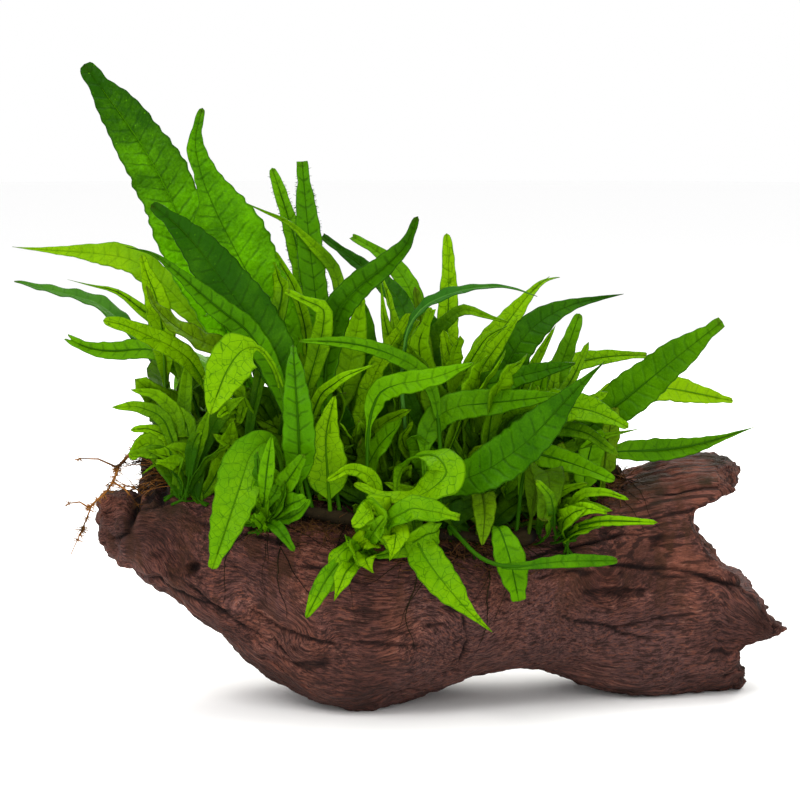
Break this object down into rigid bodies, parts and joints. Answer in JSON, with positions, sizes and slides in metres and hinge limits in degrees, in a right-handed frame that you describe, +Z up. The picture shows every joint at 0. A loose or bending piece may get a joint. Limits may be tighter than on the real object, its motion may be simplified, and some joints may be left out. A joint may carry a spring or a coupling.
{
  "type": "java fern on driftwood",
  "caption": "Aquarium fern grown over the top of a gnarled chunk of driftwood: creeping rhizomes, strap-shaped fronds, tufts of young leaves and a hanging root.",
  "frame": {"origin": "middle of the bounding box's underside, on the surface that the wood stands on", "axes": "+X along the driftwood, towards its broken end; +Y towards the back, away from the side that the fronds hang over; +Z up"},
  "size_m": [0.2962, 0.146, 0.237],
  "materials": {
    "driftwood": "old water-soaked wood, dark red-brown, with fine fibrous grain, cracks and knots",
    "rhizome": "rough, dark olive-brown and scaly",
    "root": "dull orange-brown, wiry and hairy",
    "dark_leaf": "satin dark green leaf, puckered between its side veins",
    "green_leaf": "satin green leaf with a sunken midrib",
    "bright_leaf": "satin yellow-green leaf with a dark net of veins",
    "pale_leaf": "satin pale yellow-green leaf",
    "olive_leaf": "dull olive green leaf with a darker underside",
    "blue_green_leaf": "satin blue-green leaf with a paler midrib",
    "young_leaf": "satin fresh green small leaves"
  },
  "bodies": {
    "root": {"driftwood": "driftwood", "frond_back_dark_notched": "dark_leaf", "frond_back_green_torn": "green_leaf", "frond_back_hairy_narrow": "green_leaf", "frond_back_hairy_square": "green_leaf", "frond_front_broad_hanging": "olive_leaf", "frond_front_curled_loop": "bright_leaf", "frond_front_dark_tipped": "green_leaf", "frond_front_left_hanging": "bright_leaf", "frond_front_long_diagonal": "green_leaf", "frond_front_olive_hanging": "olive_leaf", "frond_front_pointed_hanging": "bright_leaf", "frond_front_spatula": "green_leaf", "frond_front_upright_dark": "green_leaf", "frond_front_upright_pale": "bright_leaf", "frond_left_blue_low": "blue_green_leaf", "frond_left_broad_dark": "dark_leaf", "frond_left_fork_tipped": "green_leaf", "frond_left_narrow_dark": "dark_leaf", "frond_left_olive_twisted": "olive_leaf", "frond_left_pale_blunt": "bright_leaf", "frond_left_pale_level": "pale_leaf", "frond_left_pale_upright": "bright_leaf", "frond_left_tall_twisted": "green_leaf", "frond_left_tallest": "green_leaf", "frond_left_yellow_hanging": "bright_leaf", "frond_middle_bright_level": "bright_leaf", "frond_middle_broad_level": "green_leaf", "frond_middle_dark_level": "dark_leaf", "frond_middle_folded": "dark_leaf", "frond_middle_grey_level": "blue_green_leaf", "frond_middle_long_left": "green_leaf", "frond_middle_net_veined": "bright_leaf", "frond_middle_upright": "bright_leaf", "frond_rear_left": "green_leaf", "frond_rear_middle": "green_leaf", "frond_rear_middle_left": "dark_leaf", "frond_rear_right": "green_leaf", "frond_right_brown_tipped": "bright_leaf", "frond_right_curled_tip": "bright_leaf", "frond_right_largest": "green_leaf", "frond_right_long_tailed": "green_leaf", "frond_right_long_tipped": "dark_leaf", "frond_right_oval_upright": "green_leaf", "frond_right_pale_far": "pale_leaf", "frond_right_small_level": "green_leaf", "hanging_root": "root", "plantlet_crown_left": "young_leaf", "plantlet_crown_right": "young_leaf", "plantlet_front_left": "young_leaf", "plantlet_front_middle": "young_leaf", "plantlet_front_right": "young_leaf", "plantlet_left": "young_leaf", "plantlet_rear_left": "young_leaf", "plantlet_rear_middle": "young_leaf", "plantlet_rear_right": "young_leaf", "rhizome_front": "rhizome", "rhizome_left": "rhizome", "rhizome_middle": "rhizome", "rhizome_right": "rhizome"}
  },
  "joints": []
}
